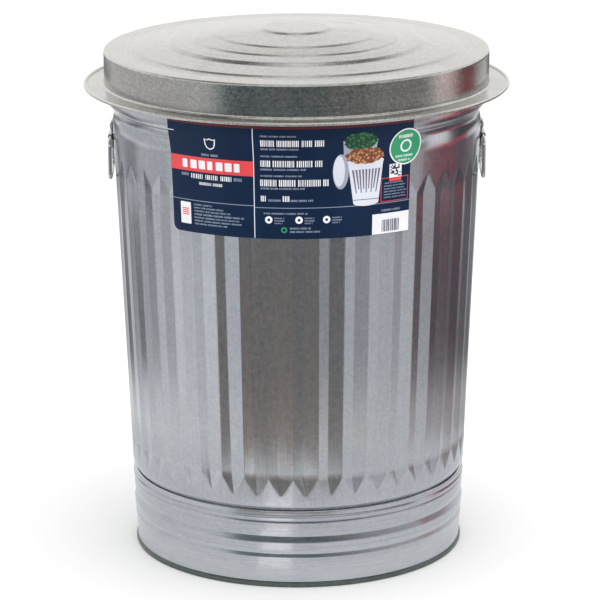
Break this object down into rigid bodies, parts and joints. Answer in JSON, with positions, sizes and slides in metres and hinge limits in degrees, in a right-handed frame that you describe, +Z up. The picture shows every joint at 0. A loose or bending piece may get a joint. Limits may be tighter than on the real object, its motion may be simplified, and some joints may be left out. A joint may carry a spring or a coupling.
{
  "type": "refuse can",
  "caption": "Round tapered galvanised steel refuse can with fluted wall, ribbed base band, loose brimmed lid, wire drop handles on stamped ears and a card label hung on the front.",
  "frame": {"origin": "centre of the can's footprint on the surface it stands on", "axes": "+Z up the can's axis, -Y to the front where the card label hangs, +X and -X through the two drop handles"},
  "size_m": [0.5744, 0.5744, 0.718],
  "materials": {
    "wall_zinc": "satin",
    "rim_zinc": "satin",
    "base_zinc": "satin",
    "foot_zinc": "satin",
    "floor_zinc": "satin",
    "ear_zinc": "satin",
    "wire_zinc": "satin",
    "rivet_zinc": "satin",
    "lid_zinc": "satin",
    "brim_zinc": "satin",
    "card_navy": "matte",
    "tag_green": "matte"
  },
  "bodies": {
    "can": {"body_wall": "wall_zinc", "rim_bead": "rim_zinc", "base_band": "base_zinc", "foot_ring": "foot_zinc", "floor_pan": "floor_zinc", "ear_left": "ear_zinc", "ear_right": "ear_zinc", "rivet_left_1": "rivet_zinc", "rivet_left_2": "rivet_zinc", "rivet_left_3": "rivet_zinc", "rivet_left_4": "rivet_zinc", "rivet_right_1": "rivet_zinc", "rivet_right_2": "rivet_zinc", "rivet_right_3": "rivet_zinc", "rivet_right_4": "rivet_zinc", "card_label": "card_navy", "round_tag": "tag_green"},
    "lid": {"lid_pan": "lid_zinc", "lid_brim_bead": "brim_zinc"},
    "handle_left": {"bail_left": "wire_zinc"},
    "handle_right": {"bail_right": "wire_zinc"}
  },
  "joints": [
    {"name": "lid_lift", "type": "slide", "parent": "can", "child": "lid", "axis": [0, 0, 1], "range_m": [0, 0.12]},
    {"name": "handle_left_swing", "type": "hinge", "parent": "can", "child": "handle_left", "pos_m": [-0.25132, 0, 0.57088], "axis": [0, 1, 0], "range_deg": [-2, 165]},
    {"name": "handle_right_swing", "type": "hinge", "parent": "can", "child": "handle_right", "pos_m": [0.25132, 0, 0.57088], "axis": [0, -1, 0], "range_deg": [-2, 165]}
  ]
}
